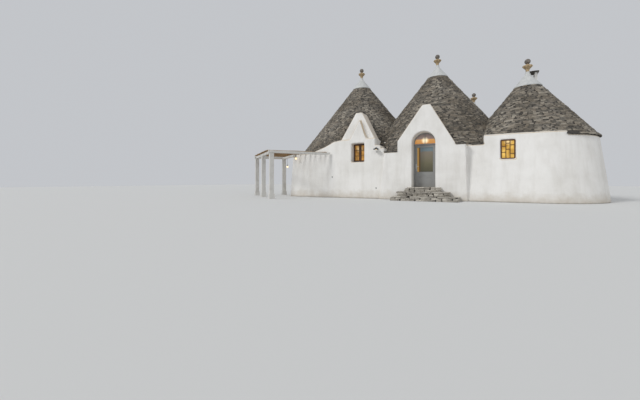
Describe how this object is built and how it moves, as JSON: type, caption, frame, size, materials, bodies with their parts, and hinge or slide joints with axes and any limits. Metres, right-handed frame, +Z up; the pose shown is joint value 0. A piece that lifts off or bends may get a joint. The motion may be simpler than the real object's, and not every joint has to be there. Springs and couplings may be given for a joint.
{
  "type": "trullo house",
  "caption": "Dry-stone house with conical stone roofs, white lime-washed walls, an arched doorway with a hinged door, and a pergola at its left end.",
  "frame": {"origin": "on the ground, under the middle of the doorway, in the plane of the entrance front", "axes": "+X to the right along the front, +Y into the house, +Z up"},
  "size_m": [17.5574, 13.7176, 8.317],
  "materials": {
    "lime_plaster": "matt lime wash over plaster",
    "roof_stone": "rough split limestone, grey with lichen",
    "cap_plaster": "smooth lime plaster",
    "carved_stone": "carved limestone",
    "slab_stone": "weathered limestone slab",
    "floor_stone": "worn limestone flags",
    "step_stone": "rough stacked limestone",
    "door_paint": "satin paint on metal",
    "door_metal": "brushed",
    "glass": "clear",
    "window_wood": "dark stained wood",
    "pergola_paint": "white paint on wood",
    "pergola_cane": "bare poles"
  },
  "bodies": {
    "house": {"floor": "floor_stone", "threshold": "floor_stone", "entrance_pier_left": "lime_plaster", "entrance_pier_right": "lime_plaster", "entrance_gable": "lime_plaster", "left_front_wall": "lime_plaster", "left_pediment": "lime_plaster", "left_back_gable": "lime_plaster", "left_drum_west": "lime_plaster", "left_drum_back": "lime_plaster", "middle_drum_back": "lime_plaster", "rear_drum_left": "lime_plaster", "rear_drum_back": "lime_plaster", "rear_drum_right": "lime_plaster", "party_wall_left": "lime_plaster", "party_wall_right": "lime_plaster", "party_wall_rear": "lime_plaster", "link_wall": "lime_plaster", "right_front_wall": "lime_plaster", "right_drum_front": "lime_plaster", "right_drum_side": "lime_plaster", "right_drum_back": "lime_plaster", "roof_left": "roof_stone", "roof_middle": "roof_stone", "roof_right": "roof_stone", "roof_rear": "roof_stone", "roof_caps": "cap_plaster", "pinnacles": "carved_stone", "chimney": "lime_plaster", "cover_slabs": "slab_stone", "door_frame": "door_paint", "fanlight_frame": "door_paint", "window_glass": "glass", "left_window_frame": "window_wood", "right_window_frame": "window_wood", "rear_window_frames": "window_wood", "step_bottom": "step_stone", "step_middle": "step_stone", "step_top": "step_stone", "pergola_posts": "pergola_paint", "pergola_beams": "pergola_paint", "pergola_slats": "pergola_cane"},
    "door": {"door_leaf": "door_paint", "door_glass": "glass", "door_handle": "door_metal"}
  },
  "joints": [
    {"name": "door_hinge", "type": "hinge", "parent": "house", "child": "door", "pos_m": [0.462, 0.642, 0.61], "axis": [0, 0, -1], "range_deg": [0, 90]}
  ]
}
